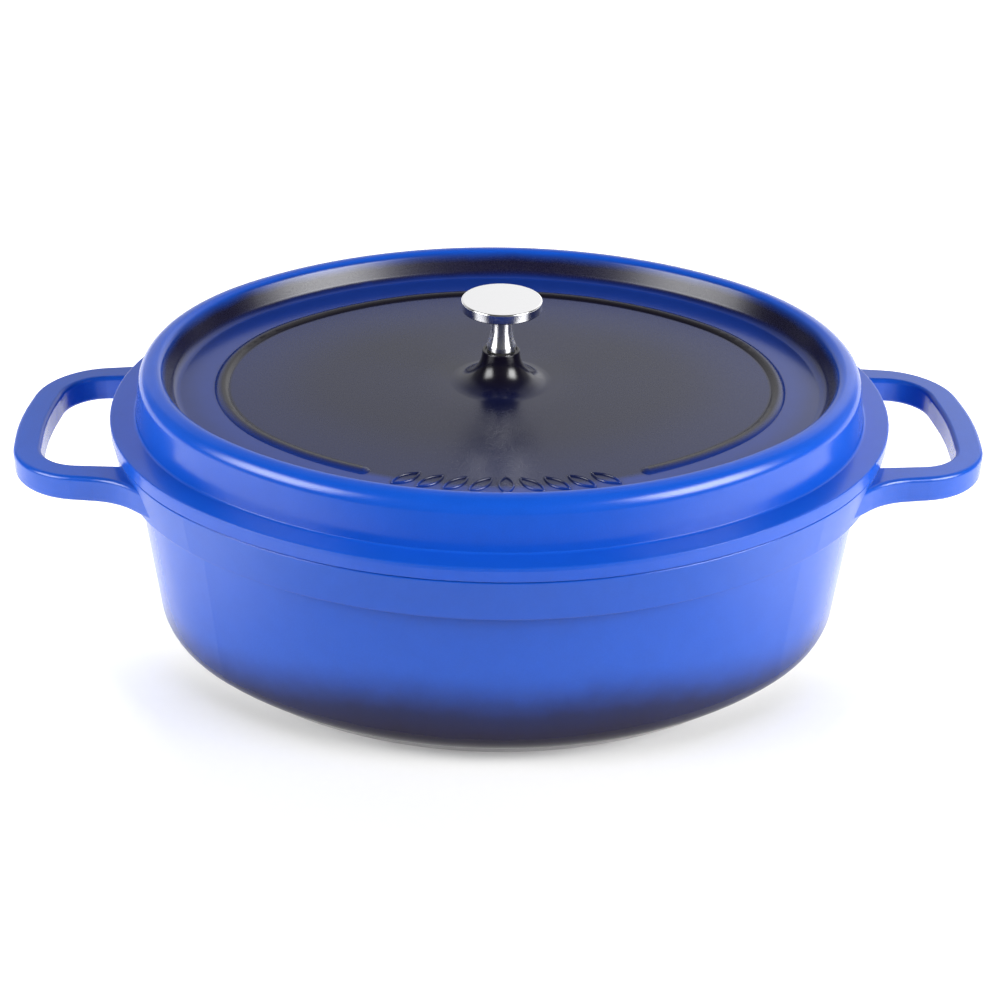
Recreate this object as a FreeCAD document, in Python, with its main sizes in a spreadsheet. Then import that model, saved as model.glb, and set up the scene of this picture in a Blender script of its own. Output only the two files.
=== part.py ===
import FreeCAD, Part
import math
import os
import Sketcher

# An oval lidded casserole, in millimetres.  The pot is one casting with a loop handle at each end, and the
# lid is one casting with a raised rim and a central boss that a turned knob is screwed to.
#
# Frame: the origin is on the table under the middle of the pot, +Z is up and +X runs along the oval.
#
# Every oval here is the same four-centre oval or a parallel of it.  Its two end arcs are centred on the X
# axis, its two side arcs on the Y axis, and an "inset" is a distance inwards from the lid's outer edge.
# A section is therefore drawn once, as inset against height, and swept round the oval.

DRIVING_SIZES = {
    # the four-centre oval of the lid's outer edge
    "end_centre": 44.0,
    "side_centre": 47.3,
    "end_radius": 131.0,
    # steel disc under the pot
    "disc_inset": 30.0,
    "disc_thickness": 1.5,
    "disc_chamfer": 0.4,
    # pot
    "foot_inset": 29.5,
    "foot_edge_radius": 0.4,
    "shoulder_height": 7.0,
    "shoulder_inset": 16.8,
    "shoulder_radius": 11.5,
    "ledge_height": 84.6,
    "ledge_inset": 9.5,
    "ledge_fillet": 3.0,
    "band_foot_inset": 3.2,
    "band_edge_radius": 0.8,
    "rim_height": 103.6,
    "rim_inset": 0.3,
    "rim_edge_radius": 0.6,
    "seat_height": 98.6,
    "seat_inset": 8.0,
    "inner_top_inset": 12.5,
    "inner_foot_inset": 21.5,
    "inner_corner_radius": 14.0,
    "floor_height": 9.0,
    "middle_inset": 60.0,
    "middle_overlap": 8.0,
    # loop handles: corners of the outline seen from above, each rounded with its radius
    "handle_top": 99.8,
    "handle_thickness": 12.0,
    "handle_edge_radius": 2.0,
    "handle_tip_along": 219.0,
    "handle_tip_radius": 150.0,
    "handle_corner_along": 213.0,
    "handle_corner_across": 52.0,
    "handle_corner_radius": 34.0,
    "handle_flare_along": 167.0,
    "handle_flare_across": 57.6,
    "handle_flare_radius": 32.0,
    "handle_root_along": 146.0,
    "handle_root_across": 76.0,
    "loop_tip_along": 206.0,
    "loop_tip_radius": 150.0,
    "loop_corner_along": 202.0,
    "loop_corner_across": 42.2,
    "loop_corner_radius": 19.0,
    "loop_root_along": 160.0,
    "loop_root_across": 44.6,
    # lid
    "lid_seat_gap": 0.3,
    "flange_thickness": 6.7,
    "flange_edge_radius": 0.8,
    "flange_fillet": 1.5,
    "lid_wall_inset": 11.4,
    "crest_height": 132.3,
    "crest_outer_inset": 14.6,
    "crest_outer_radius": 7.2,
    "crest_inner_inset": 23.6,
    "crest_inner_radius": 4.0,
    "dish_height": 119.9,
    "dish_inset": 28.6,
    "dish_fillet": 5.0,
    "lid_thickness": 4.5,
    "under_rim_inset": 25.6,
    "under_rim_fillet": 4.0,
    "under_crest_height": 125.5,
    "under_crest_inner_inset": 21.5,
    "under_crest_outer_inset": 18.1,
    "under_crest_radius": 1.4,
    "lip_depth": 4.1,
    "lip_outer_inset": 9.3,
    "lip_thickness": 4.4,
    "lip_edge_radius": 1.0,
    # low rounded bead round the lid's panel, open for a stretch at the front
    "bead_inset": 49.95,
    "bead_half_width": 3.2,
    "bead_height": 1.3,
    "bead_sink": 1.0,
    "bead_crown_half": 1.6,
    "bead_crown_radius": 4.0,
    "bead_gap_half": 59.0,
    # boss in the middle of the lid
    "boss_height": 135.2,
    "boss_foot_radius": 9.3,
    "boss_top_radius": 8.4,
    "boss_edge_radius": 0.5,
    "boss_flare_radius": 14.5,
    "boss_recess_radius": 7.2,
    "boss_recess_depth": 0.6,
    "screw_hole_radius": 3.3,
    "head_recess_radius": 8.5,
    "head_recess_top": 124.0,
    # washers and screw
    "seat_washer_bore": 3.4,
    "seat_washer_radius": 6.2,
    "seat_washer_thickness": 0.8,
    "flat_washer_bore": 3.2,
    "flat_washer_radius": 7.0,
    "flat_washer_thickness": 1.2,
    "spring_washer_bore": 3.15,
    "spring_washer_radius": 5.6,
    "spring_washer_thickness": 1.6,
    "spring_washer_split": 0.9,
    "screw_radius": 3.0,
    "screw_length": 25.0,
    "screw_tip_chamfer": 0.6,
    "screw_head_radius": 5.5,
    "screw_head_height": 3.6,
    "screw_head_edge": 1.0,
    "screw_socket_width": 4.0,
    "screw_socket_depth": 2.0,
    # knob
    "knob_height": 24.1,
    "knob_disc_radius": 17.95,
    "knob_disc_edge": 4.6,
    "knob_disc_bevel": 0.7,
    "knob_under_rise": 1.4,
    "knob_neck_radius": 4.6,
    "knob_neck_fillet": 3.0,
    "knob_foot_radius": 6.4,
    "knob_foot_height": 2.4,
    "knob_flare_height": 8.0,
    "knob_flare_fillet": 28.0,
    "knob_bore_radius": 3.02,
    "knob_bore_depth": 13.0,
}

SHEET_NAME = "Sizes"
ORIGIN = -1
X_AXIS = -1
Y_AXIS = -2
START = 1
END = 2
CENTRE = 3
TINY = 1e-9
NEAR = 1e-4


class Size:
    """A length in millimetres together with the sheet formula that gives it."""

    def __init__(self, number, formula):
        self.number = number
        self.formula = formula

    def combine(self, other, sign, number):
        return Size(number, f"({self.formula} {sign} {as_size(other).formula})")

    def __add__(self, other):
        return self.combine(other, "+", self.number + as_size(other).number)

    def __sub__(self, other):
        return self.combine(other, "-", self.number - as_size(other).number)

    def __mul__(self, other):
        return self.combine(other, "*", self.number * as_size(other).number)

    def __truediv__(self, other):
        return self.combine(other, "/", self.number / as_size(other).number)

    def __neg__(self):
        return Size(-self.number, f"(-1 * {self.formula})")


def as_size(value):
    if isinstance(value, Size):
        return value
    return Size(float(value), str(value))


ZERO = as_size(0.0)
NO_ROUNDING = ZERO


def square_root(size):
    return Size(math.sqrt(size.number), f"sqrt({size.formula})")


class Sizes:
    """The driving sizes by name, each tied to its cell on the sheet."""

    def __init__(self, document):
        sheet = document.addObject("Spreadsheet::Sheet", SHEET_NAME)
        for row, (name, number) in enumerate(DRIVING_SIZES.items(), start=1):
            sheet.set(f"A{row}", name)
            sheet.set(f"B{row}", str(number))
            sheet.setAlias(f"B{row}", name)
            setattr(self, name, Size(number, f"{SHEET_NAME}.{name}"))


doc = FreeCAD.newDocument("Casserole")
sizes = Sizes(doc)
doc.recompute()


# ---------------------------------------------------------------- the oval, worked out from its three sizes

centre_gap = square_root(sizes.end_centre * sizes.end_centre + sizes.side_centre * sizes.side_centre)
side_radius = sizes.end_radius + centre_gap
half_length = sizes.end_centre + sizes.end_radius
join_cosine = sizes.end_centre / centre_gap
join_sine = sizes.side_centre / centre_gap


def along(inset):
    """X of the parallel oval at this inset, on the X axis."""
    return half_length - inset


def join_point(inset):
    """Where the end arc meets the side arc, in the +X +Y quarter."""
    radius = sizes.end_radius - inset
    return sizes.end_centre + radius * join_cosine, radius * join_sine


# ---------------------------------------------------------------- helpers for bodies, sketches and features


def new_body(label):
    body = doc.addObject("PartDesign::Body", label)
    body.Label = label
    return body


def origin_plane(body, role):
    return next(item for item in body.Origin.OriginFeatures if item.Role == role)


def new_sketch(body, name, role, height=None):
    """A sketch on one of the body's own origin planes, lifted by height along that plane's normal."""
    sketch = body.newObject("Sketcher::SketchObject", name)
    sketch.AttachmentSupport = [(origin_plane(body, role), "")]
    sketch.MapMode = "FlatFace"
    if height is not None:
        sketch.AttachmentOffset = FreeCAD.Placement(FreeCAD.Vector(0, 0, height.number), FreeCAD.Rotation())
        sketch.setExpression("AttachmentOffset.Base.z", height.formula)
    return sketch


def constrain(sketch, kind, *arguments):
    """Add a constraint whose last argument is a Size, and bind it to the sheet."""
    *places, size = arguments
    number = sketch.addConstraint(Sketcher.Constraint(kind, *places, size.number))
    sketch.setExpression(f"Constraints[{number}]", size.formula)


def pin(sketch, geometry, end, x, y):
    """Hold one point of a geometry at x, y."""
    for kind, axis, size in (("DistanceX", Y_AXIS, x), ("DistanceY", X_AXIS, y)):
        if abs(size.number) < TINY:
            sketch.addConstraint(Sketcher.Constraint("PointOnObject", geometry, end, axis))
        else:
            constrain(sketch, kind, ORIGIN, START, geometry, end, size)


def add_arc(sketch, centre, start, end):
    """An anticlockwise arc about centre from start to end, drawn but not yet constrained."""
    radius = (start - centre).Length
    circle = Part.Circle(centre, FreeCAD.Vector(0, 0, 1), radius)
    first = math.atan2(start.y - centre.y, start.x - centre.x)
    last = math.atan2(end.y - centre.y, end.x - centre.x)
    if last < first:
        last += 2 * math.pi
    return sketch.addGeometry(Part.ArcOfCircle(circle, first, last))


def flat_point(x, y):
    return FreeCAD.Vector(x.number, y.number, 0)


def draw_oval(sketch, inset, front_gap_half=None):
    """The parallel oval at this inset, as arcs pinned at their ends.

    With front_gap_half the front side arc is left open between x = -front_gap_half and +front_gap_half.
    """
    x, y = join_point(inset)
    end_arc = sizes.end_radius - inset
    side_arc = side_radius - inset
    corners = [(x, -y), (x, y), (-x, y), (-x, -y)]
    arcs = [
        (corners[0], corners[1], (sizes.end_centre, ZERO), end_arc),
        (corners[1], corners[2], (ZERO, -sizes.side_centre), side_arc),
        (corners[2], corners[3], (-sizes.end_centre, ZERO), end_arc),
    ]
    if front_gap_half is None:
        arcs.append((corners[3], corners[0], (ZERO, sizes.side_centre), side_arc))
    names = [draw_pinned_arc(sketch, *arc) for arc in arcs]
    for first, second in zip(names, names[1:]):
        sketch.addConstraint(Sketcher.Constraint("Coincident", first, END, second, START))
    for name, corner in zip(names, corners):
        pin(sketch, name, START, *corner)
    if front_gap_half is None:
        sketch.addConstraint(Sketcher.Constraint("Coincident", names[-1], END, names[0], START))
        return
    pin(sketch, names[-1], END, *corners[3])
    gap_y = sizes.side_centre - square_root(side_arc * side_arc - front_gap_half * front_gap_half)
    centre = (ZERO, sizes.side_centre)
    left = draw_pinned_arc(sketch, corners[3], (-front_gap_half, gap_y), centre, side_arc)
    right = draw_pinned_arc(sketch, (front_gap_half, gap_y), corners[0], centre, side_arc)
    sketch.addConstraint(Sketcher.Constraint("Coincident", names[-1], END, left, START))
    sketch.addConstraint(Sketcher.Constraint("Coincident", right, END, names[0], START))
    pin(sketch, left, END, -front_gap_half, gap_y)
    pin(sketch, right, START, front_gap_half, gap_y)


def draw_pinned_arc(sketch, start, end, centre, radius):
    arc = add_arc(sketch, flat_point(*centre), flat_point(*start), flat_point(*end))
    constrain(sketch, "Radius", arc, radius)
    return arc


def draw_outline(sketch, corners):
    """A closed loop of straight lines through the corners (x, y, radius), each corner rounded."""
    count = len(corners)
    places = [flat_point(x, y) for x, y, radius in corners]
    guides = []
    cuts = []
    for index, (x, y, radius) in enumerate(corners):
        guide = sketch.addGeometry(Part.Point(places[index]), True)
        pin(sketch, guide, START, x, y)
        guides.append(guide)
        back = (places[index - 1] - places[index]).normalize()
        ahead = (places[(index + 1) % count] - places[index]).normalize()
        half_angle = back.getAngle(ahead) / 2
        cuts.append((back, ahead, radius.number / math.tan(half_angle), half_angle))
    lines = []
    for index in range(count):
        following = (index + 1) % count
        start = places[index] + cuts[index][1] * cuts[index][2]
        end = places[following] + cuts[following][0] * cuts[following][2]
        lines.append(sketch.addGeometry(Part.LineSegment(start, end)))
    for index, (x, y, radius) in enumerate(corners):
        arriving, leaving = lines[index - 1], lines[index]
        if radius.number < TINY:
            sketch.addConstraint(Sketcher.Constraint("Coincident", arriving, END, guides[index], START))
            sketch.addConstraint(Sketcher.Constraint("Coincident", leaving, START, guides[index], START))
            continue
        back, ahead, cut, half_angle = cuts[index]
        towards_centre = (back + ahead).normalize() * (radius.number / math.sin(half_angle))
        centre = places[index] + towards_centre
        first = places[index] + back * cut
        last = places[index] + ahead * cut
        turns_left = (ahead.cross(back)).z > 0
        arc = add_arc(sketch, centre, first, last) if turns_left else add_arc(sketch, centre, last, first)
        arc_first, arc_last = (START, END) if turns_left else (END, START)
        sketch.addConstraint(Sketcher.Constraint("PointOnObject", guides[index], START, arriving))
        sketch.addConstraint(Sketcher.Constraint("PointOnObject", guides[index], START, leaving))
        sketch.addConstraint(Sketcher.Constraint("Tangent", arriving, END, arc, arc_first))
        sketch.addConstraint(Sketcher.Constraint("Tangent", leaving, START, arc, arc_last))
        constrain(sketch, "Radius", arc, radius)


def draw_circle(sketch, radius):
    """A circle about the sketch's origin."""
    circle = Part.Circle(FreeCAD.Vector(0, 0, 0), FreeCAD.Vector(0, 0, 1), radius.number)
    name = sketch.addGeometry(circle)
    pin(sketch, name, CENTRE, ZERO, ZERO)
    constrain(sketch, "Radius", name, radius)


def section(body, name, corners):
    """A cross-section on the XZ plane, from corners (inset, height, radius)."""
    sketch = new_sketch(body, name, "XZ_Plane")
    draw_outline(sketch, [(along(inset), height, radius) for inset, height, radius in corners])
    return sketch


def sweep(body, kind, name, profile, path):
    doc.recompute()
    pipe = body.newObject(f"PartDesign::{kind}", name)
    pipe.Profile = profile
    pipe.Spine = (path, [f"Edge{number + 1}" for number in range(len(path.Shape.Edges))])
    doc.recompute()
    return pipe


def pad(body, name, sketch, height):
    feature = body.newObject("PartDesign::Pad", name)
    feature.Profile = sketch
    feature.Length = height.number
    feature.setExpression("Length", height.formula)
    doc.recompute()
    return feature


def pocket(body, name, sketch, depth, reversed_way=False):
    """Cut downwards from the sketch, or upwards if reversed_way, and make sure that something was cut."""
    before = body.Shape.Volume
    feature = body.newObject("PartDesign::Pocket", name)
    feature.Profile = sketch
    feature.Length = depth.number
    feature.setExpression("Length", depth.formula)
    feature.Reversed = reversed_way
    doc.recompute()
    if body.Shape.Volume > before - TINY:
        raise RuntimeError(f"{name} cut nothing")
    return feature


def revolve(body, name, corners, axis_x=None, axis_y=None):
    """Turn an outline of corners (radius from the axis, height, rounding) about a vertical axis.

    The axis is the Z axis, or stands at axis_x, axis_y if they are given.
    """
    sketch = new_sketch(body, f"{name}_outline", "XZ_Plane")
    if axis_x is not None:
        offset = FreeCAD.Vector(axis_x.number, 0, -axis_y.number)
        sketch.AttachmentOffset = FreeCAD.Placement(offset, FreeCAD.Rotation())
        sketch.setExpression("AttachmentOffset.Base.x", axis_x.formula)
        sketch.setExpression("AttachmentOffset.Base.z", (-axis_y).formula)
    draw_outline(sketch, corners)
    doc.recompute()
    feature = body.newObject("PartDesign::Revolution", name)
    feature.Profile = sketch
    feature.ReferenceAxis = (sketch, ["V_Axis"])
    feature.Angle = 360.0
    doc.recompute()
    return feature


def with_more_volume(body, make, *arguments):
    """Make an additive feature and check that it added something."""
    before = body.Shape.Volume
    make(*arguments)
    if body.Shape.Volume < before + TINY:
        raise RuntimeError(f"{body.Tip.Name} added nothing")


def round_edges(body, name, chosen, radius, kind="Fillet"):
    """Round or chamfer the edges of the body's shape that chosen(edge) picks."""
    base = body.Tip
    names = [f"Edge{number + 1}" for number, edge in enumerate(base.Shape.Edges) if chosen(edge)]
    feature = body.newObject(f"PartDesign::{kind}", name)
    feature.Base = (base, names)
    size_name = "Radius" if kind == "Fillet" else "Size"
    setattr(feature, size_name, radius.number)
    feature.setExpression(size_name, radius.formula)
    doc.recompute()
    return feature


def middle_of(edge):
    return edge.valueAt((edge.FirstParameter + edge.LastParameter) / 2)


def is_level(edge, height):
    box = edge.BoundBox
    return abs(box.ZMin - height.number) < NEAR and abs(box.ZMax - height.number) < NEAR


# ---------------------------------------------------------------- base disc


def make_base_disc():
    body = new_body("base_disc")
    outline = new_sketch(body, "disc_outline", "XY_Plane")
    draw_oval(outline, sizes.disc_inset)
    pad(body, "disc_plate", outline, sizes.disc_thickness)
    round_edges(body, "disc_edge", lambda edge: is_level(edge, ZERO), sizes.disc_chamfer, "Chamfer")


# ---------------------------------------------------------------- pot body


def pot_section():
    return [
        (sizes.middle_inset, sizes.disc_thickness, NO_ROUNDING),
        (sizes.foot_inset, sizes.disc_thickness, sizes.foot_edge_radius),
        (sizes.foot_inset, sizes.shoulder_height, sizes.band_edge_radius),
        (sizes.shoulder_inset, sizes.shoulder_height, sizes.shoulder_radius),
        (sizes.ledge_inset, sizes.ledge_height, sizes.ledge_fillet),
        (sizes.band_foot_inset, sizes.ledge_height, sizes.band_edge_radius),
        (sizes.rim_inset, sizes.rim_height, sizes.rim_edge_radius),
        (sizes.seat_inset, sizes.rim_height, sizes.rim_edge_radius),
        (sizes.seat_inset, sizes.seat_height, sizes.rim_edge_radius),
        (sizes.inner_top_inset, sizes.seat_height, sizes.rim_edge_radius),
        (sizes.inner_foot_inset, sizes.floor_height, sizes.inner_corner_radius),
        (sizes.middle_inset, sizes.floor_height, NO_ROUNDING),
    ]


def handle_outline(side):
    """Corners of one loop handle, anticlockwise for side +1 (the +X end) and mirrored for side -1."""
    half = [
        (sizes.handle_corner_along, sizes.handle_corner_across, sizes.handle_corner_radius),
        (sizes.handle_flare_along, sizes.handle_flare_across, sizes.handle_flare_radius),
        (sizes.handle_root_along, sizes.handle_root_across, NO_ROUNDING),
        (sizes.loop_root_along, sizes.loop_root_across, NO_ROUNDING),
        (sizes.loop_corner_along, sizes.loop_corner_across, sizes.loop_corner_radius),
    ]
    tip = (sizes.handle_tip_along, ZERO, sizes.handle_tip_radius)
    loop_tip = (sizes.loop_tip_along, ZERO, sizes.loop_tip_radius)
    far_half = [(x, -y, radius) for x, y, radius in reversed(half)]
    corners = [tip] + half + [loop_tip] + far_half
    if side < 0:
        corners = [(-x, y, radius) for x, y, radius in reversed(corners)]
    return corners


def make_handles(body):
    """Both loops, with their edges rounded before the wall that their roots are buried in is added."""
    underside = sizes.handle_top - sizes.handle_thickness
    body.AllowCompound = True
    outlines = new_sketch(body, "handle_outlines", "XY_Plane", underside)
    draw_outline(outlines, handle_outline(1))
    draw_outline(outlines, handle_outline(-1))
    pad(body, "handles", outlines, sizes.handle_thickness)
    root_reach = math.hypot(
        (sizes.handle_root_along.number + sizes.loop_root_along.number) / 2 - sizes.end_centre.number,
        (sizes.handle_root_across.number + sizes.loop_root_across.number) / 2,
    )

    def is_rounded(edge):
        middle = middle_of(edge)
        reach = math.hypot(abs(middle.x) - sizes.end_centre.number, middle.y)
        level = is_level(edge, sizes.handle_top) or is_level(edge, underside)
        return level and reach > root_reach + TINY

    round_edges(body, "handle_edges", is_rounded, sizes.handle_edge_radius)


def make_pot_body():
    body = new_body("pot_body")
    make_handles(body)
    path = new_sketch(body, "oval_path", "XY_Plane")
    draw_oval(path, ZERO)
    sweep(body, "AdditivePipe", "wall_and_rim", section(body, "wall_section", pot_section()), path)
    middle = new_sketch(body, "floor_outline", "XY_Plane", sizes.disc_thickness)
    draw_oval(middle, sizes.middle_inset - sizes.middle_overlap)
    pad(body, "floor", middle, sizes.floor_height - sizes.disc_thickness)


# ---------------------------------------------------------------- lid body

flange_underside = sizes.rim_height + sizes.lid_seat_gap
flange_top = flange_underside + sizes.flange_thickness
lid_underside = sizes.dish_height - sizes.lid_thickness


def lid_section():
    lip_foot = flange_underside - sizes.lip_depth
    lip_inner = sizes.lip_outer_inset + sizes.lip_thickness
    return [
        (ZERO, flange_underside, sizes.flange_edge_radius),
        (sizes.lip_outer_inset, flange_underside, sizes.rim_edge_radius),
        (sizes.lip_outer_inset, lip_foot, sizes.lip_edge_radius),
        (lip_inner, lip_foot, sizes.lip_edge_radius),
        (sizes.under_crest_outer_inset, sizes.under_crest_height, sizes.under_crest_radius),
        (sizes.under_crest_inner_inset, sizes.under_crest_height, sizes.under_crest_radius),
        (sizes.under_rim_inset, lid_underside, sizes.under_rim_fillet),
        (sizes.middle_inset, lid_underside, NO_ROUNDING),
        (sizes.middle_inset, sizes.dish_height, NO_ROUNDING),
        (sizes.dish_inset, sizes.dish_height, sizes.dish_fillet),
        (sizes.crest_inner_inset, sizes.crest_height, sizes.crest_inner_radius),
        (sizes.crest_outer_inset, sizes.crest_height, sizes.crest_outer_radius),
        (sizes.lid_wall_inset, flange_top, sizes.flange_fillet),
        (ZERO, flange_top, sizes.flange_edge_radius),
    ]


def add_bead(body):
    """The bead stands on the panel and stops at each side of the front gap in a round end."""
    foot = sizes.dish_height - sizes.bead_sink
    top = sizes.dish_height + sizes.bead_height
    half = [
        (sizes.bead_half_width, foot, NO_ROUNDING),
        (sizes.bead_half_width, sizes.dish_height, NO_ROUNDING),
        (sizes.bead_crown_half, top, sizes.bead_crown_radius),
    ]
    path = new_sketch(body, "bead_path", "XY_Plane", sizes.dish_height)
    draw_oval(path, sizes.bead_inset, sizes.bead_gap_half)
    corners = [(sizes.bead_inset - out, height, radius) for out, height, radius in half]
    corners += [(sizes.bead_inset + out, height, radius) for out, height, radius in reversed(half)]
    with_more_volume(body, sweep, body, "AdditivePipe", "bead", section(body, "bead_section", corners), path)
    radius = side_radius - sizes.bead_inset
    gap_half = sizes.bead_gap_half
    end_y = sizes.side_centre - square_root(radius * radius - gap_half * gap_half)
    end_corners = [(ZERO, foot, NO_ROUNDING)] + half + [(ZERO, top, NO_ROUNDING)]
    for name, end_x in (("left", -gap_half), ("right", gap_half)):
        with_more_volume(body, revolve, body, f"bead_{name}_end", end_corners, end_x, end_y)


def add_boss(body):
    inside_floor = lid_underside + sizes.lid_thickness / 2
    corners = [
        (ZERO, inside_floor, NO_ROUNDING),
        (sizes.boss_foot_radius, inside_floor, NO_ROUNDING),
        (sizes.boss_foot_radius, sizes.dish_height, NO_ROUNDING),
        (sizes.boss_top_radius, sizes.boss_height, sizes.boss_edge_radius),
        (ZERO, sizes.boss_height, NO_ROUNDING),
    ]
    revolve(body, "boss", corners)

    def is_boss_foot(edge):
        radius = getattr(edge.Curve, "Radius", 0.0)
        return is_level(edge, sizes.dish_height) and abs(radius - sizes.boss_foot_radius.number) < NEAR

    round_edges(body, "boss_flare", is_boss_foot, sizes.boss_flare_radius)
    recess = new_sketch(body, "boss_recess_outline", "XY_Plane", sizes.boss_height)
    draw_circle(recess, sizes.boss_recess_radius)
    pocket(body, "boss_recess", recess, sizes.boss_recess_depth)
    head_recess = new_sketch(body, "head_recess_outline", "XY_Plane", lid_underside)
    draw_circle(head_recess, sizes.head_recess_radius)
    pocket(body, "head_recess", head_recess, sizes.head_recess_top - lid_underside, reversed_way=True)
    hole = new_sketch(body, "screw_hole_outline", "XY_Plane", lid_underside)
    draw_circle(hole, sizes.screw_hole_radius)
    pocket(body, "screw_hole", hole, sizes.boss_height - lid_underside, reversed_way=True)


def make_lid_body():
    body = new_body("lid_body")
    path = new_sketch(body, "oval_path", "XY_Plane")
    draw_oval(path, ZERO)
    sweep(body, "AdditivePipe", "rim_and_flange", section(body, "rim_section", lid_section()), path)
    middle = new_sketch(body, "panel_outline", "XY_Plane", lid_underside)
    draw_oval(middle, sizes.middle_inset - sizes.middle_overlap)
    pad(body, "panel", middle, sizes.lid_thickness)
    add_bead(body)
    add_boss(body)


# ---------------------------------------------------------------- washers, screw and knob

seat_floor = sizes.boss_height - sizes.boss_recess_depth
knob_foot = seat_floor + sizes.seat_washer_thickness
flat_washer_foot = sizes.head_recess_top - sizes.flat_washer_thickness
spring_washer_foot = flat_washer_foot - sizes.spring_washer_thickness


def make_washer(label, foot, thickness, bore, radius):
    body = new_body(label)
    outline = new_sketch(body, f"{label}_outline", "XY_Plane", foot)
    draw_circle(outline, radius)
    draw_circle(outline, bore)
    pad(body, f"{label}_ring", outline, thickness)
    return body


def make_spring_washer():
    """A split ring, drawn flat as it is when the screw is tight."""
    thickness = sizes.spring_washer_thickness
    body = make_washer(
        "spring_washer", spring_washer_foot, thickness, sizes.spring_washer_bore, sizes.spring_washer_radius
    )
    split = new_sketch(body, "split_outline", "XY_Plane", spring_washer_foot)
    half = sizes.spring_washer_split / 2
    inner = sizes.spring_washer_bore - half
    outer = sizes.spring_washer_radius + half
    corners = [
        (inner, -half, NO_ROUNDING),
        (outer, -half, NO_ROUNDING),
        (outer, half, NO_ROUNDING),
        (inner, half, NO_ROUNDING),
    ]
    draw_outline(split, corners)
    pocket(body, "split", split, thickness, reversed_way=True)


def make_knob_screw():
    body = new_body("knob_screw")
    head_top = spring_washer_foot
    head_foot = head_top - sizes.screw_head_height
    tip = head_top + sizes.screw_length
    chamfer = sizes.screw_tip_chamfer
    corners = [
        (ZERO, head_foot, NO_ROUNDING),
        (sizes.screw_head_radius, head_foot, sizes.screw_head_edge),
        (sizes.screw_head_radius, head_top, NO_ROUNDING),
        (sizes.screw_radius, head_top, NO_ROUNDING),
        (sizes.screw_radius, tip - chamfer, NO_ROUNDING),
        (sizes.screw_radius - chamfer, tip, NO_ROUNDING),
        (ZERO, tip, NO_ROUNDING),
    ]
    revolve(body, "head_and_shank", corners)
    half_flat = sizes.screw_socket_width / 2
    half_corner = half_flat * 2 / square_root(as_size(3.0))
    step = half_corner / 2
    socket = new_sketch(body, "socket_outline", "XY_Plane", head_foot)
    hexagon = [
        (half_corner, ZERO),
        (step, half_flat),
        (-step, half_flat),
        (-half_corner, ZERO),
        (-step, -half_flat),
        (step, -half_flat),
    ]
    draw_outline(socket, [(x, y, NO_ROUNDING) for x, y in hexagon])
    pocket(body, "socket", socket, sizes.screw_socket_depth, reversed_way=True)


def make_knob():
    body = new_body("knob")
    top = knob_foot + sizes.knob_height
    disc_foot = top - sizes.knob_disc_edge
    neck_top = disc_foot - sizes.knob_under_rise
    flare_top = knob_foot + sizes.knob_flare_height
    corners = [
        (ZERO, knob_foot, NO_ROUNDING),
        (sizes.knob_foot_radius, knob_foot, sizes.rim_edge_radius),
        (sizes.knob_foot_radius, knob_foot + sizes.knob_foot_height, sizes.rim_edge_radius),
        (sizes.knob_neck_radius, flare_top, sizes.knob_flare_fillet),
        (sizes.knob_neck_radius, neck_top, sizes.knob_neck_fillet),
        (sizes.knob_disc_radius, disc_foot, sizes.rim_edge_radius),
        (sizes.knob_disc_radius, top, sizes.knob_disc_bevel),
        (ZERO, top, NO_ROUNDING),
    ]
    revolve(body, "knob_shape", corners)
    bore = new_sketch(body, "bore_outline", "XY_Plane", knob_foot)
    draw_circle(bore, sizes.knob_bore_radius)
    pocket(body, "bore", bore, sizes.knob_bore_depth, reversed_way=True)


# ---------------------------------------------------------------- build, check and write

make_base_disc()
make_pot_body()
make_lid_body()
make_washer(
    "flat_washer",
    flat_washer_foot,
    sizes.flat_washer_thickness,
    sizes.flat_washer_bore,
    sizes.flat_washer_radius,
)
make_spring_washer()
make_knob_screw()
make_washer(
    "seat_washer", seat_floor, sizes.seat_washer_thickness, sizes.seat_washer_bore, sizes.seat_washer_radius
)
make_knob()
doc.recompute()

failed = [item.Name for item in doc.Objects if "Invalid" in item.State or "Error" in item.State]
if failed:
    raise RuntimeError(f"objects failed: {failed}")

os.makedirs("parts", exist_ok=True)
for body in doc.findObjects("PartDesign::Body"):
    shape = body.Shape
    if shape.isNull() or not shape.isValid() or len(shape.Solids) != 1:
        raise RuntimeError(f"{body.Label} is not one valid solid")
    shape.exportStep(f"parts/{body.Label}.step")
    box = shape.BoundBox
    print(f"{body.Label}: volume {shape.Volume:.0f} mm3, z {box.ZMin:.2f} to {box.ZMax:.2f}")
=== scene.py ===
import math

import bmesh
import bpy
from mathutils import Matrix, Vector


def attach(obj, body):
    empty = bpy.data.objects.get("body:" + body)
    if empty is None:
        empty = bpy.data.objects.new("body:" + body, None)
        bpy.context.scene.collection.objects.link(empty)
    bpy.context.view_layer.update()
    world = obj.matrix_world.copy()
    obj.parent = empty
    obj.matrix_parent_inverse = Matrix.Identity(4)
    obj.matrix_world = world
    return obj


# Everything is in metres, in the CAD's own frame: +Z up, +X along the oval, the camera on the -Y side.
MM = 0.001

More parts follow.
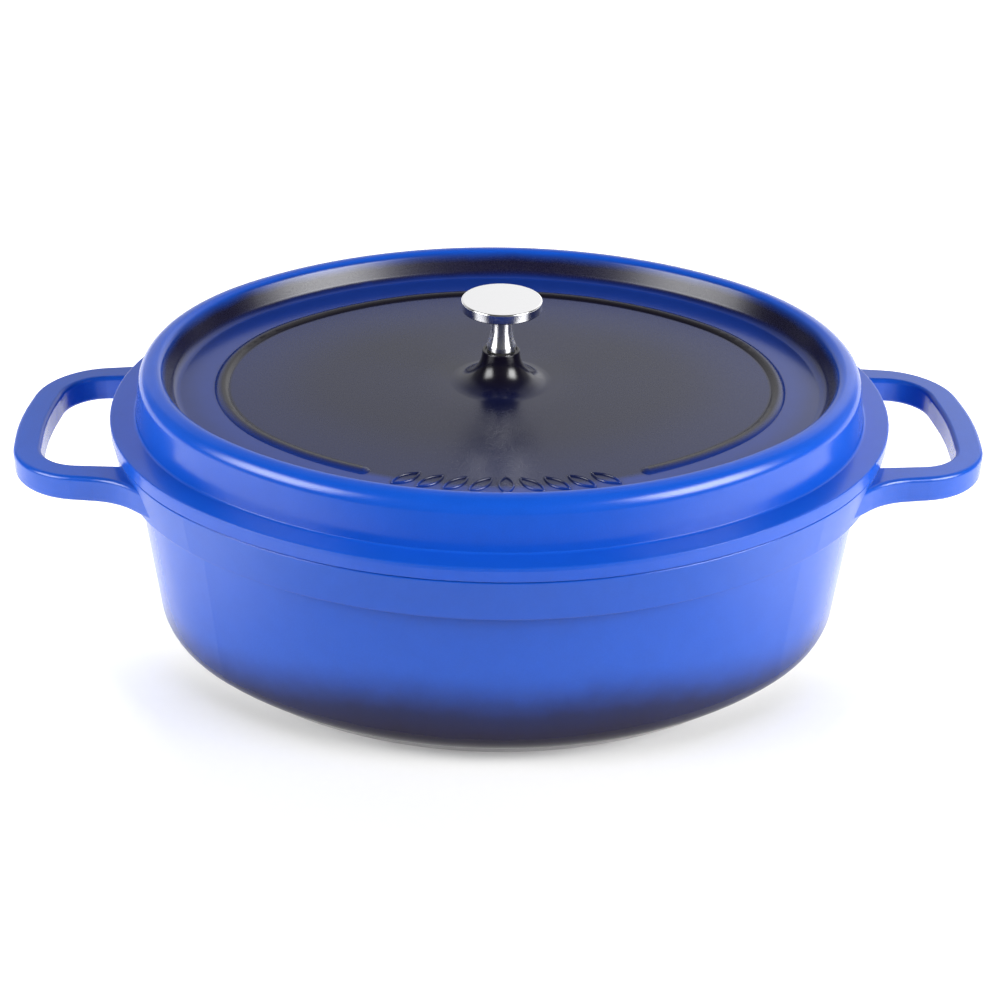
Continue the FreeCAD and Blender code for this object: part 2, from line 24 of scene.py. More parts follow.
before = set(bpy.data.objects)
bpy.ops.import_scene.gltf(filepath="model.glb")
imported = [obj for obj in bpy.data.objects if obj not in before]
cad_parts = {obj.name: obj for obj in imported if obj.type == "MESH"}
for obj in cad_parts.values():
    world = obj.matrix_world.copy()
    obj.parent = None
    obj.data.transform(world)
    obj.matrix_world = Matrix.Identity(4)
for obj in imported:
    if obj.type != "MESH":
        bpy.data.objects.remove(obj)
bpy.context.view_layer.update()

# The lid's outer edge is a four-centre oval.  An inset is a distance inwards from it, seen from above.
END_CENTRE = 44.0 * MM
SIDE_CENTRE = 47.3 * MM
END_RADIUS = 131.0 * MM
SIDE_RADIUS = END_RADIUS + math.hypot(END_CENTRE, SIDE_CENTRE)

# The section of the lid's rim, from its outer wall over the crest and down the inner wall to the dish.
CREST_HEIGHT = 132.3 * MM
CREST_OUTER_INSET = 14.6 * MM
CREST_OUTER_ROUNDING = 7.2 * MM
CREST_INNER_INSET = 23.6 * MM
CREST_INNER_ROUNDING = 4.0 * MM
PANEL_HEIGHT = 119.9 * MM
DISH_INSET = 28.6 * MM
DISH_ROUNDING = 5.0 * MM

# How far each wall leans inwards per unit of height, as its shading has it.  The cast outer wall leans 0.147.
OUTER_WALL_LEAN = 0.124
INNER_WALL_LEAN = (DISH_INSET - CREST_INNER_INSET) / (CREST_HEIGHT - PANEL_HEIGHT)


def rounding_reach(radius, lean):
    """How far from a corner's own inset the middle of its rounding lies."""
    return radius * (math.hypot(1.0, lean) - lean)


CREST_OUTER_MIDDLE = CREST_OUTER_INSET + rounding_reach(CREST_OUTER_ROUNDING, OUTER_WALL_LEAN)
CREST_INNER_MIDDLE = CREST_INNER_INSET - rounding_reach(CREST_INNER_ROUNDING, INNER_WALL_LEAN)
DISH_MIDDLE = DISH_INSET + rounding_reach(DISH_ROUNDING, INNER_WALL_LEAN)

# The rim's normals are worked out above this height, and wherever they come this near to the mesh's own.
RIM_NORMAL_FOOT = 109.0 * MM
RIM_NORMAL_AGREEMENT = 0.85
# The inner wall's upper part ends in the crest's rounding, and its lower part in the dish's.
INNER_WALL_SPLIT = 126.0 * MM

# The raised bead round the lid's panel, and half of the stretch at the front where it is open.
BEAD_INSET = 49.95 * MM
BEAD_GAP_HALF = 59.0 * MM


# ---------------------------------------------------------------- a small node builder


def kind_of(value):
    """VALUE for a number, RGBA for a colour and VECTOR for a direction, each as given or as a socket."""
    if isinstance(value, bpy.types.NodeSocket):
        return value.type
    return "RGBA" if isinstance(value, tuple) else "VALUE"


class Graph:
    """The nodes of a material, light or world.  A value is a plain one or the output of another node."""

    def __init__(self, tree):
        self.tree = tree

    def node(self, kind, values=None, **settings):
        """Add a node of this kind, with these settings and with these values at its inputs."""
        made = self.tree.nodes.new(kind)
        for name, value in settings.items():
            setattr(made, name, value)
        for key, value in (values or {}).items():
            self.feed(made.inputs[key], value)
        return made

    def feed(self, socket, value):
        if isinstance(value, bpy.types.NodeSocket):
            self.tree.links.new(value, socket)
        else:
            socket.default_value = value

    def split(self, vector):
        """The X, Y and Z of a vector."""
        return self.node("ShaderNodeSeparateXYZ", {"Vector": vector}).outputs

    def join(self, **parts):
        """A vector from any of X, Y and Z, with 0 for the rest."""
        return self.node("ShaderNodeCombineXYZ", parts).outputs[0]

    def compute(self, operation, first, second=0.0, third=0.0):
        values = {0: first, 1: second, 2: third}
        return self.node("ShaderNodeMath", values, operation=operation).outputs[0]

    def times(self, first, *others):
        """The product of all the values."""
        for other in others:
            first = self.compute("MULTIPLY", first, other)
        return first

    def plus(self, first, second):
        return self.compute("ADD", first, second)

    def minus(self, first, second):
        return self.compute("SUBTRACT", first, second)

    def above(self, value, limit):
        """1 where value is over limit, and 0 elsewhere."""
        return self.compute("GREATER_THAN", value, limit)

    def below(self, value, limit):
        """1 where value is under limit, and 0 elsewhere."""
        return self.compute("LESS_THAN", value, limit)

    def larger(self, first, second):
        return self.compute("MAXIMUM", first, second)

    def unsigned(self, value):
        return self.compute("ABSOLUTE", value)

    def sloped(self, value, slope, start):
        """slope * value + start."""
        return self.compute("MULTIPLY_ADD", value, slope, start)

    def ramp(self, value, low, high, start=0.0, end=1.0):
        """A smooth step from start to end as value goes from low to high.

        The named ranges below hold low and high, with start and end after them where those aren't 0 and 1.
        """
        values = {"Value": value, "From Min": low, "From Max": high, "To Min": start, "To Max": end}
        return self.node("ShaderNodeMapRange", values, interpolation_type="SMOOTHSTEP").outputs["Result"]

    def mix(self, factor, first, second, **settings):
        """Blend two numbers, two colours or two directions."""
        kind = kind_of(first)
        data_type = "FLOAT" if kind == "VALUE" else kind
        made = self.node("ShaderNodeMix", {"Factor": factor}, data_type=data_type, **settings)
        first_place, second_place = [socket for socket in made.inputs if socket.type == kind][-2:]
        self.feed(first_place, first)
        self.feed(second_place, second)
        return next(socket for socket in made.outputs if socket.type == kind)

    def vector(self, operation, values, result="Vector"):
        return self.node("ShaderNodeVectorMath", values, operation=operation).outputs[result]

    def length(self, x, y):
        return self.vector("LENGTH", {0: self.join(X=x, Y=y)}, result="Value")


class Shader(Graph):
    """One material, with the place of each point on the object in metres."""

    def __init__(self, name):
        self.material = bpy.data.materials.new(name)
        self.material.use_nodes = True
        super().__init__(self.material.node_tree)
        self.surface = self.tree.nodes["Principled BSDF"]
        self.place = self.node("ShaderNodeTexCoord").outputs["Object"]
        self.x, self.y, self.z = self.split(self.place)

    def set(self, **values):
        """Set the surface's own inputs, with underscores for the spaces in their names."""
        for name, value in values.items():
            self.feed(self.surface.inputs[name.replace("_", " ")], value)

    def noise(self, size, detail=2.0):
        """Noise from 0 to 1 whose features are about size metres across."""
        values = {"Vector": self.place, "Scale": 1.0 / size, "Detail": detail}
        return self.node("ShaderNodeTexNoise", values).outputs["Fac"]

    def bump(self, height, distance, normal=None):
        """A normal that height tilts, starting from the mesh's own unless another is given."""
        values = {"Height": height, "Distance": distance}
        if normal is not None:
            values["Normal"] = normal
        return self.node("ShaderNodeBump", values).outputs["Normal"]

    def in_end(self):
        """1 where an end arc of the oval rules, and 0 where a side arc does."""
        past_end = self.minus(self.unsigned(self.x), END_CENTRE)
        leaning = self.times(past_end, SIDE_CENTRE)
        spread = self.times(self.unsigned(self.y), END_CENTRE)
        return self.above(leaning, spread)

    def inset(self):
        """The distance inwards from the lid's outer edge at each point, seen from above."""
        x = self.unsigned(self.x)
        y = self.unsigned(self.y)
        end = self.minus(END_RADIUS, self.length(self.minus(x, END_CENTRE), y))
        side = self.minus(SIDE_RADIUS, self.length(x, self.plus(y, SIDE_CENTRE)))
        return self.mix(self.in_end(), side, end)

    def outward(self):
        """The level direction away from the middle of the arc that rules at each point."""
        in_end = self.in_end()
        centre_x = self.times(in_end, self.compute("SIGN", self.x), END_CENTRE)
        in_side = self.minus(1.0, in_end)
        centre_y = self.times(in_side, self.compute("SIGN", self.y), -SIDE_CENTRE)
        away = self.join(X=self.minus(self.x, centre_x), Y=self.minus(self.y, centre_y))
        return self.vector("NORMALIZE", {0: away})

    def outer_slope(self, inset):
        """How far out and up the normal points on the rim's outer wall and over its outer rounding."""
        out = self.minus(CREST_OUTER_MIDDLE, inset)
        up = self.minus(self.z, CREST_HEIGHT - CREST_OUTER_ROUNDING)
        return out, self.larger(up, self.times(out, OUTER_WALL_LEAN))

    def inner_slope(self, inset):
        """The same on the rim's inner wall, with the crest's rounding above it and the dish's below."""
        near_dish = self.below(self.z, INNER_WALL_SPLIT)
        in_crest = self.minus(inset, CREST_INNER_MIDDLE)
        in_dish = self.larger(self.minus(DISH_MIDDLE, inset), 0.0)
        inwards = self.mix(near_dish, in_crest, in_dish)
        up_crest = self.minus(self.z, CREST_HEIGHT - CREST_INNER_ROUNDING)
        up_dish = self.minus(PANEL_HEIGHT + DISH_ROUNDING, self.z)
        up = self.mix(near_dish, up_crest, up_dish)
        return self.times(inwards, -1.0), self.larger(up, self.times(inwards, INNER_WALL_LEAN))

    def rim_normal(self, inset):
        """The normal worked out from the section of the lid's rim, wherever the mesh's own one agrees.

        The mesh's normals swing a little between its long facets, which would notch the highlights.
        """
        past_crest = self.above(inset, CREST_OUTER_MIDDLE)
        outer_out, outer_up = self.outer_slope(inset)
        inner_out, inner_up = self.inner_slope(inset)
        out = self.mix(past_crest, outer_out, inner_out)
        up = self.mix(past_crest, outer_up, inner_up)
        level = self.vector("SCALE", {0: self.outward(), "Scale": out})
        exact = self.vector("NORMALIZE", {0: self.vector("ADD", {0: level, 1: self.join(Z=up)})})
        found = self.node("ShaderNodeNewGeometry").outputs["Normal"]
        agreement = self.vector("DOT_PRODUCT", {0: found, 1: exact}, result="Value")
        on_rim = self.times(
            self.above(agreement, RIM_NORMAL_AGREEMENT),
            self.below(inset, DISH_MIDDLE),
            self.above(self.z, RIM_NORMAL_FOOT),
        )
        return self.mix(on_rim, found, exact)


def colour(red, green, blue):
    return (red, green, blue, 1.0)


def add_object(name, data):
    made = bpy.data.objects.new(name, data)
    bpy.context.scene.collection.objects.link(made)
    return made


WHITE = colour(1.0, 1.0, 1.0)


# ---------------------------------------------------------------- coatings and metals

BLUE = colour(0.005, 0.074, 0.490)
POT_BLUE = colour(0.006, 0.073, 0.455)
NAVY = colour(0.007, 0.034, 0.240)
SOOT = colour(0.004, 0.003, 0.008)
INK = colour(0.004, 0.003, 0.020)
FOOT_SOOT = colour(0.007, 0.003, 0.014)
LINING = colour(0.012, 0.012, 0.013)
BARE = colour(0.46, 0.45, 0.47)
CHROME = colour(0.93, 0.93, 0.94)
BASE_STEEL = colour(0.60, 0.59, 0.60)
FASTENER_STEEL = colour(0.55, 0.55, 0.55)
RUBBER_DARK = colour(0.012, 0.012, 0.012)
RUBBER_PALE = colour(0.03, 0.03, 0.03)

# The sprayed coating has a fine grain over broad clouds.  Both shade it a little and share one relief.
GRAIN_SIZE = 0.38 * MM
GRAIN_SHADES = (0.35, 0.70, 0.95, 1.04)
GRAIN_ROUGHNESS = (0.2, 0.8, 0.16, 0.23)
CLOUD_SIZE = 9.0 * MM
CLOUD_SHADES = (0.3, 0.7, 0.98, 1.02)
CLOUD_SHARE = 0.6
RELIEF_DEPTH = 0.0035 * MM
COATING_IOR = 1.46
BARE_ROUGHNESS = 0.34


def coat(shader, paint, metal_share=None, extra_roughness=0.0, normal=None):
    """Finish a sprayed coating: paint may vary, and metal_share is where the casting is bare."""
    grain = shader.noise(GRAIN_SIZE, detail=1.0)
    cloud = shader.noise(CLOUD_SIZE)
    height = shader.sloped(cloud, CLOUD_SHARE, grain)
    shade = shader.times(shader.ramp(grain, *GRAIN_SHADES), shader.ramp(cloud, *CLOUD_SHADES))
    grey = shader.node("ShaderNodeCombineColor", {0: shade, 1: shade, 2: shade}).outputs[0]
    result = shader.mix(1.0, paint, grey, blend_type="MULTIPLY")
    roughness = shader.plus(shader.ramp(grain, *GRAIN_ROUGHNESS), extra_roughness)
    if metal_share is not None:
        result = shader.mix(metal_share, result, BARE)
        roughness = shader.mix(metal_share, roughness, BARE_ROUGHNESS)
        shader.set(Metallic=metal_share)
    shader.set(
        Base_Color=result,
        Roughness=roughness,
        IOR=COATING_IOR,
        Normal=shader.bump(height, RELIEF_DEPTH, normal),
    )
    return shader.material


# The pot's blue fades to soot between two heights, under a long faint tail.  The edge of the fade wanders,
# and it rises towards the ends of the oval.
FOOT_FADE = (29.0 * MM, 55.0 * MM)
FOOT_TAIL = (12.0 * MM, 64.0 * MM)
FOOT_TAIL_SHARE = 0.4
FOOT_DRIFT_SIZE = 14.0 * MM
FOOT_WANDER = 5.0 * MM
END_RISE = (40.0 * MM, 150.0 * MM, 0.0, 18.0 * MM)
SOOT_SPECULAR = 0.33
BLUE_SPECULAR = 0.5
# The casting is bare up to the base's machined edge.
BARE_EDGE = (6.4 * MM, 6.8 * MM)
# The black lining covers what lies further in than the middle of the wall, whose inset falls with height,
# or further in than the lid's seat above SEAT_FOOT.  Nothing under LINING_FOOT has it.
POT_WALL_SLOPE = -0.0941
POT_WALL_START = 18.96 * MM
SEAT_FOOT = 97.0 * MM
SEAT_EDGE_INSET = 7.6 * MM
LINING_FOOT = 8.0 * MM


def make_pot_coating():
    shader = Shader("pot_coating")
    inset = shader.inset()
    drift = shader.noise(FOOT_DRIFT_SIZE, detail=3.0)
    wander = shader.sloped(drift, FOOT_WANDER, shader.z)
    wander = shader.plus(wander, shader.ramp(shader.unsigned(shader.x), *END_RISE))
    blue_share = shader.ramp(wander, *FOOT_FADE)
    tail = shader.ramp(wander, *FOOT_TAIL)
    outside = shader.mix(shader.mix(FOOT_TAIL_SHARE, blue_share, tail), FOOT_SOOT, POT_BLUE)
    wall_middle = shader.sloped(shader.z, POT_WALL_SLOPE, POT_WALL_START)
    lining_edge = shader.mix(shader.above(shader.z, SEAT_FOOT), wall_middle, SEAT_EDGE_INSET)
    lined = shader.times(shader.above(inset, lining_edge), shader.above(shader.z, LINING_FOOT))
    paint = shader.mix(lined, outside, LINING)
    shader.set(Specular_IOR_Level=shader.mix(blue_share, SOOT_SPECULAR, BLUE_SPECULAR))
    return coat(shader, paint, metal_share=shader.ramp(shader.z, *BARE_EDGE, 1.0, 0.0))


# Insets between which the lid's colour changes: blue to ink down the inner wall, then navy in the dish,
# then soot on the panel, with a tint of navy that fades inwards.
WALL_FADE = (22.8 * MM, 26.0 * MM)
TROUGH_FADE = (27.0 * MM, 31.5 * MM)
PANEL_FADE = (45.5 * MM, 51.0 * MM)
PAINT_DRIFT_SIZE = 18.0 * MM
PAINT_WANDER = 0.8 * MM
TINT = (54.0 * MM, 100.0 * MM, 0.26, 0.10)
# The tint grows from the front to the back, and stays off the boss and the bead.
TINT_DEPTHWISE = (-90.0 * MM, 70.0 * MM, 0.75, 1.35)
TINT_PAST_BOSS = (10.0 * MM, 22.0 * MM)
TINT_PAST_BEAD = (52.6 * MM, 54.5 * MM)
# The extra roughness of the dark inner wall, and of the panel away from the boss.
WALL_DULLNESS = 0.08
PANEL_DULLNESS = (16.0 * MM, 40.0 * MM, 0.0, 0.10)
# The black lining is on the walls' inner halves in the hollow rim, and on the panel's lower half.
HOLLOW_OUTER_SLOPE = 0.17
HOLLOW_OUTER_START = -5.28 * MM
HOLLOW_INNER_SLOPE = -0.405
HOLLOW_INNER_START = 74.7 * MM
HOLLOW_TOP = 127.0 * MM
PANEL_MIDDLE = 117.6 * MM
UNDERSIDE_INSET = 20.0 * MM


def panel_tint(shader, wander, inset, radius):
    """How much of the navy shows through the soot on the lid's panel."""
    gap = shader.times(shader.below(shader.unsigned(shader.x), BEAD_GAP_HALF), shader.below(shader.y, 0.0))
    return shader.times(
        shader.ramp(wander, *TINT),
        shader.ramp(shader.y, *TINT_DEPTHWISE),
        shader.ramp(radius, *TINT_PAST_BOSS),
        shader.larger(shader.ramp(inset, *TINT_PAST_BEAD), gap),
    )


def lid_lining(shader, inset):
    """1 on the faces that the lid's lining covers, and 0 elsewhere."""
    in_hollow = shader.times(
        shader.above(inset, shader.sloped(shader.z, HOLLOW_OUTER_SLOPE, HOLLOW_OUTER_START)),
        shader.below(inset, shader.sloped(shader.z, HOLLOW_INNER_SLOPE, HOLLOW_INNER_START)),
        shader.below(shader.z, HOLLOW_TOP),
    )
    under_panel = shader.times(shader.below(shader.z, PANEL_MIDDLE), shader.above(inset, UNDERSIDE_INSET))
    return shader.larger(in_hollow, under_panel)


def make_lid_coating():
    shader = Shader("lid_coating")
    inset = shader.inset()
    radius = shader.length(shader.x, shader.y)
    drift = shader.noise(PAINT_DRIFT_SIZE, detail=1.0)
    wander = shader.sloped(drift, PAINT_WANDER, shader.minus(inset, 0.5 * PAINT_WANDER))
    wall_dark = shader.ramp(wander, *WALL_FADE)
    trough = shader.ramp(wander, *TROUGH_FADE)
    panel_dark = shader.ramp(wander, *PANEL_FADE)
    panel = shader.mix(panel_tint(shader, wander, inset, radius), SOOT, NAVY)
    paint = shader.mix(wall_dark, BLUE, INK)
    paint = shader.mix(trough, paint, NAVY)
    paint = shader.mix(panel_dark, paint, panel)
    paint = shader.mix(lid_lining(shader, inset), paint, LINING)
    on_wall = shader.times(wall_dark, shader.minus(1.0, trough))
    dulled = shader.times(panel_dark, shader.ramp(radius, *PANEL_DULLNESS))
    dulled = shader.sloped(on_wall, WALL_DULLNESS, dulled)
    return coat(shader, paint, extra_roughness=dulled, normal=shader.rim_normal(inset))


# The knob: its disc is polished smooth, and faint rings round its neck draw every reflection out along it.
KNOB_DISC_FOOT = 154.9 * MM
DISC_ROUGHNESS = 0.13
HAZE_SIZE = 6.0 * MM
NECK_ROUGHNESS = (0.3, 0.7, 0.24, 0.30)
NECK_STRETCH = 0.93
ALONG_THE_NECK = 0.25  # of a full turn from the rings


def make_chrome():
    shader = Shader("polished_chrome")
    haze = shader.noise(HAZE_SIZE, detail=3.0)
    around = shader.node("ShaderNodeTangent", direction_type="RADIAL", axis="Z").outputs[0]
    on_disc = shader.above(shader.z, KNOB_DISC_FOOT)
    shader.set(
        Base_Color=CHROME,
        Metallic=1.0,
        Roughness=shader.mix(on_disc, shader.ramp(haze, *NECK_ROUGHNESS), DISC_ROUGHNESS),
        Anisotropic=shader.times(shader.minus(1.0, on_disc), NECK_STRETCH),
        Anisotropic_Rotation=ALONG_THE_NECK,
        Tangent=around,
    )
    return shader.material


# Turned steel: the marks of the tool are rings that waver, and the metal is a little darker in places.
WAVER_SIZE = 1.2 * MM
WAVER = 3.0
RING_DEPTH = 0.002 * MM
RING_DULLNESS = 0.08
STAIN_SIZE = 3.0 * MM
STAIN_SHADE = 0.85


def make_steel(name, tint, roughness, pitch):
    """Turned steel, with its rings about the Z axis at this pitch."""
    shader = Shader(name)
    radius = shader.length(shader.x, shader.y)
    turns = shader.times(radius, 2.0 * math.pi / pitch)
    rings = shader.compute("SINE", shader.sloped(shader.noise(WAVER_SIZE), WAVER, turns))
    stained = colour(*(STAIN_SHADE * part for part in tint[:3]))
    shader.set(
        Base_Color=shader.mix(shader.noise(STAIN_SIZE), tint, stained),
        Metallic=1.0,
        Roughness=shader.ramp(rings, -1.0, 1.0, roughness, roughness + RING_DULLNESS),
        Normal=shader.bump(rings, RING_DEPTH),
    )
    return shader.material


RUBBER_GRAIN_SIZE = 0.2 * MM
RUBBER_GRAIN_DEPTH = 0.02 * MM
RUBBER_ROUGHNESS = (0.2, 0.8, 0.55, 0.75)


def make_rubber():
    shader = Shader("seat_rubber")
    grain = shader.noise(RUBBER_GRAIN_SIZE)
    shader.set(
        Base_Color=shader.mix(grain, RUBBER_DARK, RUBBER_PALE),
        Roughness=shader.ramp(grain, *RUBBER_ROUGHNESS),
        Normal=shader.bump(grain, RUBBER_GRAIN_DEPTH),
    )
    return shader.material


lid_coating = make_lid_coating()
fastener_steel = make_steel("fastener_steel", FASTENER_STEEL, roughness=0.35, pitch=0.4 * MM)
node_materials = {
    "pot_body": make_pot_coating(),
    "lid_body": lid_coating,
    "base_disc": make_steel("base_steel", BASE_STEEL, roughness=0.30, pitch=0.6 * MM),
    "knob": make_chrome(),
    "knob_screw": fastener_steel,
    "flat_washer": fastener_steel,
    "spring_washer": fastener_steel,
    "seat_washer": make_rubber(),
}
for name, material in node_materials.items():
    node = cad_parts[name]
    if not node.material_slots:
        node.data.materials.append(material)
    for place in node.material_slots:
        place.material = material


# ---------------------------------------------------------------- raised leaf ornament on the lid

LEAF_RIDGE_HALF = 0.55 * MM
LEAF_RIDGE_HEIGHT = 0.7 * MM
LEAF_SUNK = 0.15 * MM
LEAF_PAIRS = 4
LEAF_LENGTH = 14.0 * MM
LEAF_WIDTH = 5.4 * MM
LEAF_PITCH = 10.4 * MM
LEAF_LEAN = math.radians(38.0)
LEAF_POINTEDNESS = 0.8
LEAF_STEPS = 20
MIDDLE_LEAF_LENGTH = 13.0 * MM
MIDDLE_LEAF_WIDTH = 6.0 * MM
RIDGE_SIDES = 8


def bend(along, across):
    """A point on the lid's panel, along the front of the bead's path and across it."""
    radius = SIDE_RADIUS - BEAD_INSET + across
    angle = along / (SIDE_RADIUS - BEAD_INSET)
    return Vector((radius * math.sin(angle), SIDE_CENTRE - radius * math.cos(angle), PANEL_HEIGHT))


def leaf_outline(along, lean, length, width):
    """A pointed leaf about its own middle, leaning sideways by lean, as a closed loop of points."""
    points = []
    for side in (1, -1):
        for step in range(LEAF_STEPS):
            share = step / LEAF_STEPS
            down = side * (0.5 - share) * length
            out = side * 0.5 * width * math.sin(math.pi * share) ** LEAF_POINTEDNESS
            points.append((along + down * math.sin(lean) + out * math.cos(lean),
                           down * math.cos(lean) - out * math.sin(lean)))
    return points


def add_ridge(mesh, outline):
    """A rounded ridge along a closed outline, its foot sunk just under the panel."""
    count = len(outline)
    middles = [bend(*point) for point in outline]
    rings = []
    for index, middle in enumerate(middles):
        ahead = (middles[(index + 1) % count] - middles[index - 1]).normalized()
        out = ahead.cross(Vector((0, 0, 1)))
        ring = []
        for side in range(RIDGE_SIDES + 1):
            turn = math.pi * side / RIDGE_SIDES
            place = middle + out * (LEAF_RIDGE_HALF * math.cos(turn))
            place.z += (LEAF_RIDGE_HEIGHT + LEAF_SUNK) * math.sin(turn) - LEAF_SUNK
            ring.append(mesh.verts.new(place))
        rings.append(ring)
    for index in range(count):
        ring, following = rings[index], rings[(index + 1) % count]
        for side in range(RIDGE_SIDES + 1):
            after = (side + 1) % (RIDGE_SIDES + 1)
            mesh.faces.new((ring[side], ring[after], following[after], following[side]))


def make_ornament():
    """A row of leaf outlines in the bead's gap, with one upright and the others leaning away from it."""
    mesh = bmesh.new()
    add_ridge(mesh, leaf_outline(0.0, 0.0, MIDDLE_LEAF_LENGTH, MIDDLE_LEAF_WIDTH))
    for pair in range(LEAF_PAIRS):
        reach = (pair + 1.0) * LEAF_PITCH
        for side in (1, -1):
            add_ridge(mesh, leaf_outline(side * reach, side * LEAF_LEAN, LEAF_LENGTH, LEAF_WIDTH))
    bmesh.ops.recalc_face_normals(mesh, faces=mesh.faces)
    data = bpy.data.meshes.new("lid_ornament")
    mesh.to_mesh(data)
    mesh.free()
    for face in data.polygons:
        face.use_smooth = True
    data.materials.append(lid_coating)
    return add_object("lid_ornament", data)


ornament = make_ornament()
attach(ornament, "lid")


# ---------------------------------------------------------------- floor, light and camera

FLOOR_HALF = 4.0
FLOOR_FIBRE = 4.0 * MM
FLOOR_ROUGHNESS = 0.85
# The darkest floor colour is painted shade, put there for the pot's front faces to reflect.
FLOOR_PAINTED_SHADE = colour(0.16, 0.16, 0.165)
FLOOR_PALE = colour(0.80, 0.80, 0.80)
FLOOR_PALEST = colour(0.82, 0.82, 0.82)
# The floor is painted dark well in front of the pot, as painted shade for its front faces to reflect, and
# turns pale nearer to it.
FLOOR_LIT = (-0.54, -0.285)
# It glows faintly under the pot's front, and brightly beside and behind it, and more in the distance.
GLOW_BEHIND = (-0.14, 0.06)
GLOW_ASIDE = (0.11, 0.27)
GLOW_STRENGTH = (0.05, 0.85)
GLOW_FAR = (0.4, 1.2, 0.0, 0.6)


def make_floor():
    data = bpy.data.meshes.new("floor")
    corners = [(FLOOR_HALF * x, FLOOR_HALF * y, 0.0) for x, y in ((-1, -1), (1, -1), (1, 1), (-1, 1))]
    data.from_pydata(corners, [], [(0, 1, 2, 3)])
    shader = Shader("floor")
    lit = shader.ramp(shader.y, *FLOOR_LIT)
    behind = shader.ramp(shader.y, *GLOW_BEHIND)
    aside = shader.ramp(shader.unsigned(shader.x), *GLOW_ASIDE)
    glow = shader.ramp(shader.larger(behind, aside), 0.0, 1.0, *GLOW_STRENGTH)
    glow = shader.plus(glow, shader.ramp(shader.y, *GLOW_FAR))
    pale = shader.mix(shader.noise(FLOOR_FIBRE, detail=3.0), FLOOR_PALE, FLOOR_PALEST)
    shader.set(
        # Painted shade in front of the pot, pale floor nearer to it.
        Base_Color=shader.mix(lit, FLOOR_PAINTED_SHADE, pale),
        Roughness=FLOOR_ROUGHNESS,
        Emission_Color=WHITE,
        Emission_Strength=shader.times(lit, glow),
    )
    data.materials.append(shader.material)
    return add_object("floor", data)


make_floor()

# The two softboxes are alike, but for their direction and power.
SOFTBOX_DISTANCE = 1.3
SOFTBOX_ELEVATION = math.radians(30.0)
SOFTBOX_WIDTH = 1.05
SOFTBOX_HEIGHT = 0.90
SOFT_EDGE = 0.35  # of the light's width and height


def fade_edges(data):
    """Make a rectangular light brightest in the middle, fading out over SOFT_EDGE of its width."""
    data.use_nodes = True
    graph = Graph(data.node_tree)
    across, along, _ = graph.split(graph.node("ShaderNodeNewGeometry").outputs["Parametric"])
    fades = []
    for place in (across, along):
        fades.append(graph.ramp(place, 0.0, SOFT_EDGE))
        fades.append(graph.ramp(place, 1.0, 1.0 - SOFT_EDGE))
    graph.feed(data.node_tree.nodes["Emission"].inputs["Strength"], graph.times(*fades))


def add_softbox(name, azimuth, watts):
    """A soft rectangular light aimed at the pot."""
    data = bpy.data.lights.new(name, "AREA")
    data.shape = "RECTANGLE"
    data.size = SOFTBOX_WIDTH
    data.size_y = SOFTBOX_HEIGHT
    data.energy = watts
    fade_edges(data)
    turn = math.radians(azimuth)
    level = math.cos(SOFTBOX_ELEVATION)
    away = Vector((math.cos(turn) * level, math.sin(turn) * level, math.sin(SOFTBOX_ELEVATION)))
    aim = away.to_track_quat("Z", "Y").to_matrix().to_4x4()
    light = add_object(name, data)
    light.matrix_world = Matrix.Translation(away * SOFTBOX_DISTANCE) @ aim


add_softbox("left_softbox", azimuth=207.0, watts=36.0)
add_softbox("right_softbox", azimuth=-33.0, watts=48.0)

# The surroundings' brightness is the product of these.  Each goes smoothly from its third number to its
# fourth as the X, Y or Z of the direction goes from its first number to its second.
SKY_HEIGHT = (0.48, 0.80, 0.92, 0.38)
SKY_BEHIND = (0.1, 0.5, 0.12, 1.0)
SKY_ASIDE = (0.50, 0.75, 1.0, 0.25)
SKY_LEAN = (-0.35, 0.35, 0.86, 1.14)
SKY_FAR_RIGHT = (0.15, 0.24, 1.0, 1.45)


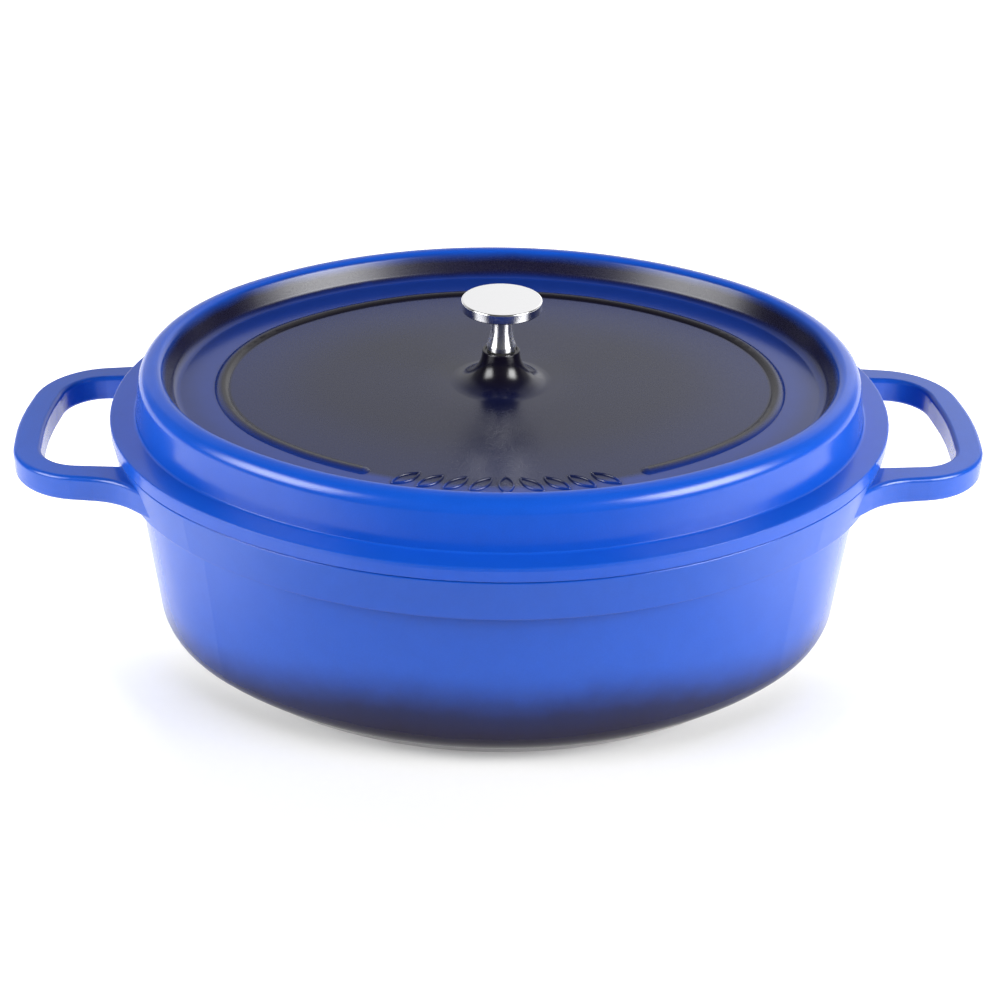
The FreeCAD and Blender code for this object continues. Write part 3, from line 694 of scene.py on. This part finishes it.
def make_world():
    world = bpy.data.worlds.new("studio")
    world.use_nodes = True
    graph = Graph(world.node_tree)
    background = world.node_tree.nodes["Background"]
    x, y, z = graph.split(graph.node("ShaderNodeTexCoord").outputs["Generated"])
    strength = graph.times(
        graph.ramp(z, *SKY_HEIGHT),
        graph.ramp(y, *SKY_BEHIND),
        graph.ramp(graph.unsigned(x), *SKY_ASIDE),
        graph.ramp(x, *SKY_LEAN),
        graph.ramp(x, *SKY_FAR_RIGHT),
    )
    graph.feed(background.inputs["Color"], WHITE)
    graph.feed(background.inputs["Strength"], strength)
    bpy.context.scene.world = world


make_world()

# The camera's place round its target.  Its lens and sensor are in millimetres, as Blender has them.
CAMERA_AZIMUTH = math.radians(-1.82)
CAMERA_ELEVATION = math.radians(29.34)
CAMERA_ROLL = math.radians(0.96)
CAMERA_DISTANCE = 901.4 * MM
CAMERA_TARGET = Vector((0.63, 0.0, 57.7)) * MM
CAMERA_LENS = 69.42
CAMERA_SENSOR = 36.0
CAMERA_NEAR = 0.01
CAMERA_FAR = 50.0


def add_camera():
    back = Vector((
        math.sin(CAMERA_AZIMUTH) * math.cos(CAMERA_ELEVATION),
        -math.cos(CAMERA_AZIMUTH) * math.cos(CAMERA_ELEVATION),
        math.sin(CAMERA_ELEVATION),
    ))
    right = (-back).cross(Vector((0, 0, 1))).normalized()
    up = right.cross(-back)
    across = math.cos(CAMERA_ROLL) * right + math.sin(CAMERA_ROLL) * up
    upright = -math.sin(CAMERA_ROLL) * right + math.cos(CAMERA_ROLL) * up
    data = bpy.data.cameras.new("camera")
    data.sensor_width = CAMERA_SENSOR
    data.lens = CAMERA_LENS
    data.clip_start = CAMERA_NEAR
    data.clip_end = CAMERA_FAR
    camera = add_object("camera", data)
    turn = Matrix((across, upright, back)).transposed().to_4x4()
    camera.matrix_world = Matrix.Translation(CAMERA_TARGET + back * CAMERA_DISTANCE) @ turn
    bpy.context.scene.camera = camera


add_camera()
bpy.context.scene.view_settings.view_transform = "Standard"
